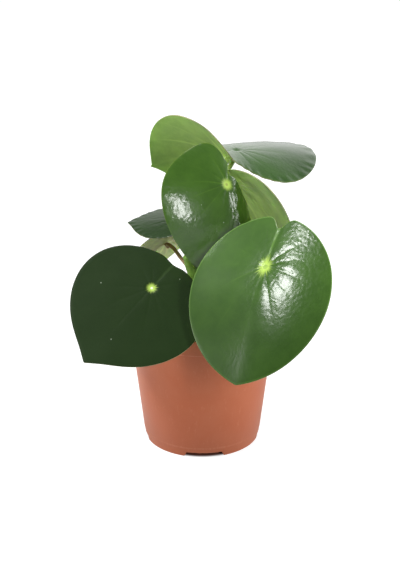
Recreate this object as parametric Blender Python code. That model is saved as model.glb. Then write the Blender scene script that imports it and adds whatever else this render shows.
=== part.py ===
"""Potted peperomia: a plant with eight large shield-shaped leaves in a round plastic pot.

The origin is the centre of the pot's underside, on the surface that the pot stands on.
X runs to the right, Y away from the viewer and Z up. Each leaf is a blade and a stalk:
the stalk leaves the stem and meets the blade from below, inside the blade's outline.
Tables hold millimetres and degrees; everything that is built is in metres.
"""
import math
from dataclasses import dataclass

import bmesh
import bpy
from mathutils import Vector

MM = 0.001
GAP = 0.3 * MM      # between pieces that touch
TINY = 0.01 * MM    # distance within which points count as one

# Pot: a tapered moulded pot with a rim band, a skirt with four drainage notches,
# a raised floor with holes, and a boss in the middle that reaches the ground
POT_HEIGHT = 105 * MM
POT_BASE_RADIUS = 45.4 * MM
POT_NECK_RADIUS = 56.5 * MM
POT_RIM_RADIUS = 60 * MM
POT_RIM_HEIGHT = 12 * MM
POT_WALL = 1.5 * MM
POT_SKIRT = 2.4 * MM
POT_FLOOR_UNDERSIDE = 5 * MM
POT_EDGE = 0.8 * MM
POT_DRAFT = 0.2 * MM
POT_SEGMENTS = 48
POT_SHARP = 35      # edges past this angle are kept sharp
BOSS_RADIUS = 12 * MM
BOSS_DRAFT = 1.5 * MM
NOTCH_COUNT = 4
NOTCH_TURN = 2
NOTCH_TOP_WIDTH = 27.5 * MM
NOTCH_FOOT_WIDTH = 31 * MM
NOTCH_HEIGHT = 4 * MM
HOLE_COUNT = 8
HOLE_RADIUS = 4 * MM
HOLE_CIRCLE = 29 * MM
HOLE_SIDES = 12

# Soil: fills the pot to well below the rim, with a plain hole for the stem
SOIL_LEVEL = 88 * MM
SOIL_MOUND = 2.5 * MM
SOIL_LUMP = 0.6 * MM
SOIL_WAVES = ((0.31, 0.17), (0.23, -0.37))  # turns of the ripples in radians per mm
SOIL_RINGS = 6

# Stem: upright in the soil, then leaning left as it rises, with a domed growing tip
STEM_POINTS = [(4, 0, 66), (4, 0, 88), (2, 0, 105), (-2, 0, 124), (-7, 0, 138), (-11, 0, 150)]
STEM_FOOT_RADIUS = 6 * MM
STEM_TOP_RADIUS = 4.2 * MM
STEM_SIDES = 16
STEM_DOME = ((0.35, 0.85), (0.55, 0.45))  # rise and radius, as shares of the top radius

# Stalks and blades
STALK_SIDES = 8
STALK_STEPS = 4
STALK_STRAIGHT = 4 * MM
STEM_FLARE = 0.25       # how much thicker a stalk grows at the stem
SEAT_FLARE = 0.15       # and under the blade
SEAT_GAP = 0.4 * MM
BLADE_MIDDLE = 1.6 * MM
BLADE_MARGIN = 0.8 * MM
SEAT_RING = 3.4 * MM
BLADE_RINGS = (0, 0.3, 0.56, 0.78, 0.92, 1)
BLADE_SPOKES = 36
SPOKE_CROWDING = 0.3    # pulls the spokes towards the tip and the notch
TIP_SHARPNESS = 1.2     # 2 rounds the drawn-out tip, 1 makes it a sharp corner
FADE_FROM = -30 * MM    # stretch over which a bend fades
FADE_TO = 50 * MM
LEAST_CURVATURE = 0.01
PLANT_SHARP = 60


@dataclass
class Leaf:
    """Where a leaf sits, how it is turned and bent, its outline, and its stalk's route."""

    name: str
    seat: tuple               # point on the upper face over the stalk
    heading: float            # direction of the tip, counted from +X towards +Y
    dip: float                # how far the tip points below level
    roll: float               # turn about the line to the tip
    length: float
    width: float
    behind: float             # share of the length behind the seat
    egg: float                # how much broader the base half is than the tip half
    point: float              # length of the drawn-out tip
    notch: float              # depth of the notch in the base
    tip_bend: float           # bends are degrees in each 100 mm, with the edges going down
    base_bend: float
    left_bend: float
    right_bend: float
    stem_height: float        # height at which the stalk leaves the stem
    stalk: list               # points on the stalk's way to the seat
    stalk_radius: float = 2.0
    reddish: bool = False     # whether the stalk is reddish
    left_fade: float = 0.0    # how fast the left bend fades towards the tip, in each 100 mm
    shear: float = 0.0        # how far the left side lies ahead of the right
    left_lobe: tuple = (0, 140, 28)   # extra length of a base lobe, its place and its spread
    right_lobe: tuple = (0, 140, 28)  # as angles at the seat, counted from the tip
    right_share: float = 1.0  # width of the right side against the left
    tip_spread: float = 12    # half widths of the tip and the notch, as angles at the seat
    notch_spread: float = 14


LEAVES = [
    Leaf(
        name="leaf_front_right", seat=(44.5, -78, 173.5), heading=-122, dip=48, roll=10,
        length=124, width=113, behind=0.32, egg=0.06, point=4, notch=9.5,
        tip_bend=26, base_bend=0, left_bend=52, right_bend=-9, tip_spread=10, notch_spread=8,
        stem_height=120, stalk=[(16, -14, 136), (34, -42, 149), (48, -63, 161)], stalk_radius=2.2,
    ),
    Leaf(
        name="leaf_front_left", seat=(-37.8, -40, 141), heading=-139, dip=32, roll=-30,
        length=95, width=104, behind=0.29, egg=0.11, point=9.5, notch=2.5,
        tip_bend=3, base_bend=14, left_bend=8, right_bend=1, tip_spread=11,
        stem_height=109, stalk=[(-20, -12, 118), (-33, -25, 127)], stalk_radius=2.2,
    ),
    Leaf(
        name="leaf_upper_middle", seat=(18.5, -17, 214.6), heading=-97, dip=45, roll=-38,
        length=89, width=100, behind=0.28, egg=0.02, point=6, notch=7,
        tip_bend=86, base_bend=52, left_bend=174, right_bend=46, left_fade=2.15,
        shear=0.10, left_lobe=(-20, 136, 47), right_lobe=(7.5, 140, 28),
        stem_height=140, stalk=[(-1, -8, 159), (5, -8, 182), (11, -8, 201)],
    ),
    Leaf(
        name="leaf_top_left", seat=(19.7, 22, 223.8), heading=131, dip=3, roll=50,
        length=83, width=95, behind=0.17, egg=0.10, point=6.5, notch=7,
        tip_bend=52, base_bend=241, left_bend=0, right_bend=169, right_share=0.58,
        right_lobe=(-22, 101, 61), tip_spread=10,
        stem_height=148, stalk=[(-3, 1, 164), (9, 4, 184), (18, 13, 205)], stalk_radius=2.4,
    ),
    Leaf(
        name="leaf_top_right", seat=(27.2, 66, 215.5), heading=42, dip=4, roll=1,
        length=101, width=99, behind=0.24, egg=0.15, point=4, notch=5,
        tip_bend=14, base_bend=-46, left_bend=57, right_bend=80, tip_spread=10,
        stem_height=141, stalk=[(-4, 13, 158), (1, 28, 169), (8, 46, 181), (18, 60, 196)],
    ),
    Leaf(
        name="leaf_back_right", seat=(24.6, 31.2, 199.3), heading=-12, dip=29, roll=-47.5,
        length=92.5, width=93, behind=0.13, egg=0.08, point=6, notch=4,
        tip_bend=64, base_bend=0, left_bend=29, right_bend=38, left_lobe=(-4, 140, 28),
        stem_height=130, stalk=[(7.3, 7, 154), (17.3, 16.3, 176)],
    ),
    Leaf(
        name="leaf_mid_left", seat=(-16, 22, 174.3), heading=163, dip=7, roll=-5,
        length=53, width=60, behind=0.27, egg=0.07, point=7, notch=5,
        tip_bend=17, base_bend=29, left_bend=48, right_bend=34,
        stem_height=145, stalk=[(-13, 7, 156), (-16.5, 16, 165)], stalk_radius=1.6,
    ),
    Leaf(
        name="leaf_back_left", seat=(-29.9, 46, 145.3), heading=196, dip=29, roll=43,
        length=84, width=71, behind=0.29, egg=0.10, point=6, notch=5,
        tip_bend=46, base_bend=32, left_bend=23, right_bend=17, reddish=True,
        stem_height=137, stalk=[(-16, 9, 145), (-22, 25, 147), (-27, 39, 145.5)], stalk_radius=1.5,
    ),
]

# Colours are linear red, green and blue
POT_COLOUR = (0.46, 0.14, 0.085)
SOIL_COLOUR = (0.032, 0.019, 0.013)
STEM_COLOUR = (0.20, 0.30, 0.07)
STALK_COLOUR = (0.30, 0.42, 0.10)
RED_STALK_COLOUR = (0.19, 0.10, 0.045)
BLADE_COLOUR = (0.045, 0.11, 0.032)


def clear_scene():
    for thing in list(bpy.data.objects):
        bpy.data.objects.remove(thing, do_unlink=True)


def make_material(name, colour, roughness):
    """A plain non-metallic Principled material."""
    material = bpy.data.materials.new(name)
    material.use_nodes = True
    shader = material.node_tree.nodes["Principled BSDF"]
    shader.inputs["Base Color"].default_value = (*colour, 1.0)
    shader.inputs["Roughness"].default_value = roughness
    shader.inputs["Metallic"].default_value = 0.0
    return material


def link_object(name, bm):
    bmesh.ops.recalc_face_normals(bm, faces=bm.faces)
    mesh = bpy.data.meshes.new(name)
    bm.to_mesh(mesh)
    bm.free()
    thing = bpy.data.objects.new(name, mesh)
    bpy.context.scene.collection.objects.link(thing)
    return thing


def add_piece(name, bm, material, sharp_angle):
    """A smooth-shaded piece of the plant or pot, with edges past sharp_angle kept sharp."""
    piece = link_object(name, bm)
    piece.data.shade_smooth()
    piece.data.set_sharp_from_angle(angle=math.radians(sharp_angle))
    piece.data.materials.append(material)
    return piece


def add_cutter(name, bm):
    """A body that only takes material away."""
    cutter = link_object(name, bm)
    cutter.hide_render = True
    cutter.display_type = "WIRE"
    return cutter


def cut(piece, cutter):
    modifier = piece.modifiers.new("cut", "BOOLEAN")
    modifier.operation = "DIFFERENCE"
    modifier.solver = "EXACT"
    modifier.object = cutter


def lathe(profile, segments):
    """Turn a profile of (radius, height) pairs, which starts and ends on the axis."""
    bm = bmesh.new()
    verts = [bm.verts.new((radius, 0, height)) for radius, height in profile]
    edges = [bm.edges.new(pair) for pair in zip(verts, verts[1:])]
    bmesh.ops.spin(bm, geom=verts + edges, axis=(0, 0, 1), cent=(0, 0, 0),
                   angle=math.tau, steps=segments, use_merge=True)
    bmesh.ops.remove_doubles(bm, verts=bm.verts, dist=TINY)
    return bm


def round_cutter(name, radius, bottom, top, centre, sides):
    bm = bmesh.new()
    bmesh.ops.create_cone(bm, cap_ends=True, segments=sides, radius1=radius, radius2=radius,
                          depth=top - bottom)
    bmesh.ops.translate(bm, verts=bm.verts, vec=(centre[0], centre[1], (top + bottom) / 2))
    return add_cutter(name, bm)


def wall_radius(height, inset=0.0):
    """The pot's outer radius below the rim band, less an inset."""
    neck_height = POT_HEIGHT - POT_RIM_HEIGHT
    slope = (POT_NECK_RADIUS - POT_BASE_RADIUS) / neck_height
    return POT_BASE_RADIUS + slope * height - inset


def floor_profile(lift, shrink):
    """The raised floor and its boss from the axis outwards, lifted and drawn in."""
    top = POT_FLOOR_UNDERSIDE + lift
    return [
        (0, lift),
        (BOSS_RADIUS - shrink, lift),
        (BOSS_RADIUS + BOSS_DRAFT - shrink, top),
    ]


def build_pot(material):
    neck = POT_HEIGHT - POT_RIM_HEIGHT
    floor_top = POT_FLOOR_UNDERSIDE + POT_WALL
    skirt_inside = POT_BASE_RADIUS - POT_SKIRT
    band_inside = POT_RIM_RADIUS - POT_WALL
    outside = floor_profile(0, 0) + [
        (skirt_inside, POT_FLOOR_UNDERSIDE),
        (skirt_inside, 0),
        (POT_BASE_RADIUS - POT_EDGE, 0),
        (wall_radius(POT_EDGE), POT_EDGE),
        (POT_NECK_RADIUS, neck),
        (POT_RIM_RADIUS - POT_EDGE, neck),
        (POT_RIM_RADIUS - POT_DRAFT, neck + POT_EDGE),
        (POT_RIM_RADIUS, POT_HEIGHT - POT_EDGE),
        (POT_RIM_RADIUS - POT_EDGE / 2, POT_HEIGHT),
    ]
    inside = [
        (band_inside + POT_EDGE / 4, POT_HEIGHT),
        (band_inside, POT_HEIGHT - POT_EDGE),
        (band_inside - 2 * POT_DRAFT, neck + POT_WALL),
        (wall_radius(neck - POT_WALL, POT_WALL), neck - POT_WALL),
        (wall_radius(floor_top, POT_WALL), floor_top),
    ] + floor_profile(POT_WALL, POT_WALL)[::-1]
    pot = add_piece("pot", lathe(outside + inside, POT_SEGMENTS), material, POT_SHARP)

    for index in range(NOTCH_COUNT):
        turn = math.radians(-90 + NOTCH_TURN) + index * math.tau / NOTCH_COUNT
        cut(pot, notch_cutter(f"notch_cutter_{index + 1}", turn))
    for index in range(HOLE_COUNT):
        turn = (index + 0.5) * math.tau / HOLE_COUNT
        centre = (HOLE_CIRCLE * math.cos(turn), HOLE_CIRCLE * math.sin(turn))
        cut(pot, round_cutter(f"hole_cutter_{index + 1}", HOLE_RADIUS,
                              POT_FLOOR_UNDERSIDE - POT_WALL, floor_top + POT_WALL, centre,
                              HOLE_SIDES))


def notch_cutter(name, turn):
    """A wedge-sided block that opens the skirt at its foot, pointing outwards at the turn."""
    bm = bmesh.new()
    near = POT_BASE_RADIUS - 4 * POT_SKIRT
    far = POT_BASE_RADIUS + POT_SKIRT
    slant = (NOTCH_FOOT_WIDTH - NOTCH_TOP_WIDTH) / 2 / NOTCH_HEIGHT
    below = POT_EDGE
    foot = NOTCH_FOOT_WIDTH / 2 + slant * below
    top = NOTCH_TOP_WIDTH / 2
    section = [(-foot, -below), (foot, -below), (top, NOTCH_HEIGHT), (-top, NOTCH_HEIGHT)]
    face = bm.faces.new([bm.verts.new((near, y, z)) for y, z in section])
    pulled = bmesh.ops.extrude_face_region(bm, geom=[face])["geom"]
    moved = [item for item in pulled if isinstance(item, bmesh.types.BMVert)]
    bmesh.ops.translate(bm, verts=moved, vec=(far - near, 0, 0))
    cutter = add_cutter(name, bm)
    cutter.rotation_euler.z = turn
    return cutter


def build_soil(material):
    """The root ball: the inside of the pot, less the gap, with a low uneven mound on top."""
    bottom = floor_profile(POT_WALL + GAP, POT_WALL + GAP)
    floor = POT_FLOOR_UNDERSIDE + POT_WALL + GAP
    rim = wall_radius(SOIL_LEVEL, POT_WALL + GAP)
    profile = bottom + [(wall_radius(floor, POT_WALL + GAP), floor), (rim, SOIL_LEVEL)]
    for ring in range(SOIL_RINGS - 1, -1, -1):
        share = ring / SOIL_RINGS
        profile.append((rim * share, SOIL_LEVEL + SOIL_MOUND * (1 - share * share)))
    bm = lathe(profile, POT_SEGMENTS)
    for vert in bm.verts:
        if vert.co.z > SOIL_LEVEL + TINY:
            for turn_x, turn_y in SOIL_WAVES:
                wave = math.sin((turn_x * vert.co.x + turn_y * vert.co.y) / MM)
                vert.co.z += SOIL_LUMP * wave
    soil = add_piece("soil", bm, material, POT_SHARP)
    foot = Vector(STEM_POINTS[0]) * MM
    cut(soil, round_cutter("stem_hole_cutter", STEM_FOOT_RADIUS + GAP, foot.z - GAP,
                           POT_HEIGHT, foot, STEM_SIDES))


def smooth_path(points, steps):
    """A smooth line through the points, with some steps between each two."""
    ends = [2 * points[0] - points[1]] + points + [2 * points[-1] - points[-2]]
    path = []
    for index in range(1, len(ends) - 2):
        before, start, end, after = ends[index - 1:index + 3]
        for step in range(steps):
            t = step / steps
            path.append(0.5 * (2 * start + (end - before) * t
                               + (2 * before - 5 * start + 4 * end - after) * t ** 2
                               + (3 * start - before - 3 * end + after) * t ** 3))
    path.append(points[-1])
    return path


def tube(path, radii, sides):
    """A closed tube along the path, with one radius for each of its points."""
    bm = bmesh.new()
    side = Vector((0, 1, 0))
    rings = []
    for index, centre in enumerate(path):
        ahead = path[min(index + 1, len(path) - 1)] - path[max(index - 1, 0)]
        if index == len(path) - 1:
            ahead = path[-1] - path[-2]
        ahead.normalize()
        side = (side - side.dot(ahead) * ahead).normalized()
        other = ahead.cross(side)
        ring = []
        for corner in range(sides):
            turn = corner * math.tau / sides
            spoke = math.cos(turn) * side + math.sin(turn) * other
            ring.append(bm.verts.new(centre + radii[index] * spoke))
        rings.append(ring)
    for low, high in zip(rings, rings[1:]):
        for corner in range(sides):
            after = (corner + 1) % sides
            bm.faces.new((low[corner], low[after], high[after], high[corner]))
    bm.faces.new(rings[0][::-1])
    bm.faces.new(rings[-1])
    return bm


def stem_path():
    return smooth_path([Vector(point) * MM for point in STEM_POINTS], STALK_STEPS)


def stem_tube(extra):
    """The tapered stem with its domed tip, made wider by extra."""
    path = stem_path()
    last = len(path) - 1
    taper = STEM_FOOT_RADIUS - STEM_TOP_RADIUS
    radii = [STEM_FOOT_RADIUS - taper * index / last + extra for index in range(last + 1)]
    top = path[-1]
    upward = (path[-1] - path[-2]).normalized()
    for rise, share in STEM_DOME:
        path.append(top + upward * (rise * STEM_TOP_RADIUS + extra))
        radii.append(share * STEM_TOP_RADIUS + extra)
    return tube(path, radii, STEM_SIDES)


def stem_point(height):
    """The point on the stem's axis at a height, in metres."""
    path = stem_path()
    for low, high in zip(path, path[1:]):
        if low.z <= height <= high.z:
            return low.lerp(high, (height - low.z) / (high.z - low.z))
    return path[-1]


def leaf_axes(leaf):
    """Unit vectors towards the tip, the left side and the upper face."""
    heading, dip, roll = (math.radians(angle) for angle in (leaf.heading, leaf.dip, leaf.roll))
    tip = Vector((math.cos(heading) * math.cos(dip), math.sin(heading) * math.cos(dip),
                  -math.sin(dip)))
    level = Vector((-math.sin(heading), math.cos(heading), 0))
    upright = tip.cross(level)
    left = math.cos(roll) * level + math.sin(roll) * upright
    return tip, left, tip.cross(left)


def outline_point(leaf, angle):
    """The flat outline around the seat: an egg with a drawn-out tip and a notched base.

    The angle is counted from the tip towards the left side.
    """
    half_length = leaf.length / 2
    half_width = leaf.width / 2
    ahead = half_length - leaf.behind * leaf.length
    cosine, sine = math.cos(angle), math.sin(angle)
    spread = (cosine / half_length) ** 2 + (sine / half_width) ** 2
    pull = ahead * cosine / half_length ** 2
    short = (ahead / half_length) ** 2 - 1
    reach = (pull + math.sqrt(pull * pull - spread * short)) / spread
    along = reach * cosine - ahead
    across = reach * sine * (1 - leaf.egg * along / half_length)
    along += ahead
    if across < 0:
        across *= leaf.right_share
    off_tip = abs(math.degrees(angle))
    along += leaf.point * math.exp(-(off_tip / leaf.tip_spread) ** TIP_SHARPNESS)
    along += leaf.notch * math.exp(-((180 - off_tip) / leaf.notch_spread) ** 2)
    along += leaf.shear * across
    longer, place, spread = leaf.left_lobe if across > 0 else leaf.right_lobe
    along -= longer * math.exp(-((off_tip - place) / spread) ** 2)
    return along * MM, across * MM


def curvature(bend):
    """Bend in degrees for each 100 mm as curvature, never quite flat."""
    value = math.radians(bend) / (100 * MM)
    return value if abs(value) > LEAST_CURVATURE else LEAST_CURVATURE


def bent_point(leaf, along, across):
    """Where a point of the flat blade goes once the blade is bent both ways."""
    if across > 0:
        fade = math.exp(-leaf.left_fade * min(max(along, FADE_FROM), FADE_TO) / (100 * MM))
        sideways = curvature(leaf.left_bend * fade)
    else:
        sideways = curvature(leaf.right_bend)
    lengthways = curvature(leaf.tip_bend if along > 0 else leaf.base_bend)
    aside = math.sin(sideways * across) / sideways
    drop = (math.cos(sideways * across) - 1) / sideways
    forward = (1 / lengthways + drop) * math.sin(lengthways * along)
    rise = (1 / lengthways + drop) * math.cos(lengthways * along) - 1 / lengthways
    return Vector((forward, aside, rise))


def blade_point(leaf, along, across, depth):
    """A point of the blade in the world, at a depth below its upper face."""
    step = 0.05 * MM
    here = bent_point(leaf, along, across)
    ahead = bent_point(leaf, along + step, across) - here
    aside = bent_point(leaf, along, across + step) - here
    here -= depth * ahead.cross(aside).normalized()
    tip, left, up = leaf_axes(leaf)
    return Vector(leaf.seat) * MM + here.x * tip + here.y * left + here.z * up


def join_rings(bm, inner, outer):
    """Two triangles between each two neighbouring points of two rings."""
    for index in range(len(inner)):
        after = (index + 1) % len(inner)
        bm.faces.new((inner[index], outer[index], outer[after]))
        bm.faces.new((inner[index], outer[after], inner[after]))


def blade_sheet(bm, leaf, under):
    """The blade's upper face or its underside, split alike, as rings around the seat.

    It returns the outermost ring.
    """
    rings = []
    for share in BLADE_RINGS:
        thickness = BLADE_MARGIN + (BLADE_MIDDLE - BLADE_MARGIN) * (1 - share * share)
        depth = thickness if under else 0
        ring = []
        for index in range(BLADE_SPOKES):
            even = index * math.tau / BLADE_SPOKES - math.pi
            edge = Vector(outline_point(leaf, even - SPOKE_CROWDING * math.sin(2 * even)))
            spot = edge * (SEAT_RING + share * (edge.length - SEAT_RING)) / edge.length
            ring.append(bm.verts.new(blade_point(leaf, *spot, depth)))
        rings.append(ring)
    middle = bm.verts.new(blade_point(leaf, 0, 0, BLADE_MIDDLE if under else 0))
    for index in range(BLADE_SPOKES):
        bm.faces.new((middle, rings[0][index], rings[0][(index + 1) % BLADE_SPOKES]))
    for inner, outer in zip(rings, rings[1:]):
        join_rings(bm, inner, outer)
    return rings[-1]


def build_blade(leaf, material):
    bm = bmesh.new()
    join_rings(bm, blade_sheet(bm, leaf, under=False), blade_sheet(bm, leaf, under=True))
    add_piece(leaf.name + "_blade", bm, material, PLANT_SHARP)


def build_stalk(leaf, material):
    """The stalk from the stem to just under the blade, ending square to the blade."""
    up = leaf_axes(leaf)[2]
    end = Vector(leaf.seat) * MM - up * (BLADE_MIDDLE + SEAT_GAP)
    points = [stem_point(leaf.stem_height * MM)]
    points += [Vector(point) * MM for point in leaf.stalk]
    points.append(end - up * STALK_STRAIGHT)
    path = smooth_path(points, STALK_STEPS) + [end]
    last = len(path) - 1
    radii = []
    for index in range(last + 1):
        near_stem = max(0, 1 - index / STALK_STEPS)
        near_seat = max(0, 1 - (last - index) / 2)
        flare = 1 + STEM_FLARE * near_stem + SEAT_FLARE * near_seat
        radii.append(leaf.stalk_radius * MM * flare)
    stalk = add_piece(leaf.name + "_stalk", tube(path, radii, STALK_SIDES), material, PLANT_SHARP)
    cut(stalk, add_cutter(leaf.name + "_stem_cutter", stem_tube(GAP)))


def main():
    clear_scene()
    build_pot(make_material("terracotta coloured plastic", POT_COLOUR, 0.45))
    build_soil(make_material("potting soil", SOIL_COLOUR, 0.95))
    stem_material = make_material("green stem", STEM_COLOUR, 0.5)
    add_piece("stem", stem_tube(0), stem_material, PLANT_SHARP)
    blade_material = make_material("leaf blade", BLADE_COLOUR, 0.3)
    stalk_material = make_material("leaf stalk", STALK_COLOUR, 0.45)
    red_material = make_material("reddish leaf stalk", RED_STALK_COLOUR, 0.5)
    for leaf in LEAVES:
        build_blade(leaf, blade_material)
        build_stalk(leaf, red_material if leaf.reddish else stalk_material)


main()
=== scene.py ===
"""Looks of the potted peperomia.

The file is laid out as an add-on and run as a script. Each operator builds one piece, or one
group of like pieces, over the fixed frame. Lengths are in metres, angles in degrees where a
name doesn't say otherwise, and colours are linear red, green and blue.
"""

import math
import random
from contextlib import contextmanager
from dataclasses import dataclass

import bmesh
import bpy
from bpy.props import FloatProperty, FloatVectorProperty, IntProperty, PointerProperty
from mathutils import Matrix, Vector, noise


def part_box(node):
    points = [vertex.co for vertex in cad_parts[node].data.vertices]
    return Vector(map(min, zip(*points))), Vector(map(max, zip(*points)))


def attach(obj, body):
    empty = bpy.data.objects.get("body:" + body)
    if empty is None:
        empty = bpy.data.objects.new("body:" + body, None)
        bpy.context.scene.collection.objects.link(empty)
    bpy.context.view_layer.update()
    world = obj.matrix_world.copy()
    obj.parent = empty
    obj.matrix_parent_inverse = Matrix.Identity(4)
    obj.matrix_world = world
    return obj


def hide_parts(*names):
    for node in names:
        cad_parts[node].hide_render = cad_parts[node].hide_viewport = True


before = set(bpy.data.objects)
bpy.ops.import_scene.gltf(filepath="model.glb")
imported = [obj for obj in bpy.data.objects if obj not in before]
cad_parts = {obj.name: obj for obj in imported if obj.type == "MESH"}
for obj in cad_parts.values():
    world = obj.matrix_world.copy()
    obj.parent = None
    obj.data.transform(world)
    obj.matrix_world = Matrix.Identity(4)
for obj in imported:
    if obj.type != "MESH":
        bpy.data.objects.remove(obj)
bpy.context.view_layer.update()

bl_info = {
    "name": "Potted Peperomia",
    "version": (1, 0, 0),
    "blender": (4, 5, 0),
    "location": "View3D > Sidebar > Peperomia",
    "description": "Builds a potted peperomia: pot, soil, stem, stalks and eight round leaves",
    "category": "Add Mesh",
}

MM = 0.001
TINY = 0.01 * MM

# Pot: heights and radii of its moulded profile
POT_LOW, POT_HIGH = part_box("pot")
POT_RIM_RADIUS = (POT_HIGH.x - POT_LOW.x) / 2
POT_HEIGHT = POT_HIGH.z
POT_BASE_RADIUS = 45.4 * MM
POT_NECK_RADIUS = 56.5 * MM
POT_RIM_HEIGHT = 12 * MM
POT_NECK = POT_HEIGHT - POT_RIM_HEIGHT
POT_WALL = 1.5 * MM
POT_SKIRT = 2.4 * MM
POT_FLOOR_UNDERSIDE = 5 * MM
POT_EDGE = 0.8 * MM
POT_BEVEL = 0.3 * MM
BOSS_RADIUS = 12 * MM
BOSS_DRAFT = 1.5 * MM
NOTCH_COUNT = 4
NOTCH_TURN = 2
NOTCH_TOP_WIDTH = 27.5 * MM
NOTCH_FOOT_WIDTH = 31 * MM
NOTCH_HEIGHT = 4 * MM
HOLE_COUNT = 8
HOLE_RADIUS = 4 * MM
HOLE_CIRCLE = 29 * MM
GAP = 0.3 * MM

# Soil
SOIL_LEVEL = 88 * MM
SOIL_MOUND = 2.5 * MM
SOIL_SIDES = 120
SOIL_RINGS = 44
CRUMB_SEED = 7
DRY_CRUMB_CHANCE = 0.28

# Stem and stalks
STEM_POINTS = [(4, 0, 66), (4, 0, 88), (2, 0, 105), (-2, 0, 124), (-7, 0, 138), (-11, 0, 150)]
STEM_FOOT_RADIUS = 6 * MM
STEM_TOP_RADIUS = 4.2 * MM
STEM_SIDES = 28
# Rise and radius of the rings of the domed tip, as shares of the stem's radius there
STEM_TIP = ((0.2, 0.96), (0.35, 0.85), (0.47, 0.66), (0.55, 0.42), (0.59, 0.16))
# Heights in mm of old leaf scars, low rings where the stem swells a little
STEM_SCARS = (94, 101, 109, 120, 130, 137, 141, 145)
STALK_SIDES = 20
STALK_STRAIGHT = 4 * MM

# Blades: the outline rule shared with the solids, and the mesh that carries the relief
BLADE_MIDDLE = 1.6 * MM
BLADE_MARGIN = 0.8 * MM
SPOKE_CROWDING = 0.3
TIP_SHARPNESS = 1.2
FADE_FROM = -30 * MM
FADE_TO = 50 * MM
LEAST_CURVATURE = 0.01
SPOKES = 216
RINGS = 60
VEIN_COUNT = 12
FLAT_UNIT = 100 * MM
BLADE_BEVEL = 0.22 * MM

# Relief of the blades: how wide its forms are
FUNNEL_WIDTH = 11 * MM
VEIN_VALLEY = 1.1 * MM
LAP_WIDTH = 7 * MM
WAVE_LENGTH = 34 * MM
PUCKER_LENGTH = 6 * MM
PUCKER_WIDTH = 4 * MM

# Camera: where it looks, how far away it is and how wide it sees
CAMERA_TARGET = Vector((-0.0017, 0.0, 0.1267))
CAMERA_DISTANCE = 1.2
CAMERA_ELEVATION = 22.4
CAMERA_LENS = 97.83
CAMERA_SENSOR = 36


@dataclass
class Leaf:
    """Where a leaf sits, its turn and bends, its outline, its stalk's route and its finish."""

    name: str
    seat: tuple               # point on the upper face over the stalk, in mm
    heading: float            # direction of the tip, counted from +X towards +Y
    dip: float                # how far the tip points below level
    roll: float               # turn about the line to the tip
    length: float
    width: float
    behind: float             # share of the length behind the seat
    egg: float                # how much broader the base half is than the tip half
    point: float              # length of the drawn-out tip
    notch: float              # depth of the notch in the base
    tip_bend: float           # bends are degrees in each 100 mm, with the edges going down
    base_bend: float
    left_bend: float
    right_bend: float
    stem_height: float
    stalk: list
    stalk_radius: float = 2.0
    reddish: bool = False
    left_fade: float = 0.0
    shear: float = 0.0
    left_lobe: tuple = (0, 140, 28)   # extra length of a base lobe, its place and spread
    right_lobe: tuple = (0, 140, 28)
    right_share: float = 1.0
    tip_spread: float = 12
    notch_spread: float = 14
    face: str = "mid"         # finish of the upper face
    under: str = "plain"      # finish of the underside
    puff: float = 0.25        # height of the fields between the veins, in mm
    funnel: float = 0.0       # depth of the broad hollow around the seat, in mm
    crease: float = 0.6       # depth of the fold from the seat to the notch, in mm
    lap: float = 0.0          # how far the left lobe stands above the right at the notch
    calm: float = 0.0         # how much smoother the right half is than the left
    wave: float = 0.5         # height of the broad waves, in mm
    ripple: float = 0.0       # height of the ripples along the margin, in mm
    pucker: float = 0.0       # height of the puckers in the outer left half, in mm
    seed: float = 0.0


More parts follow.
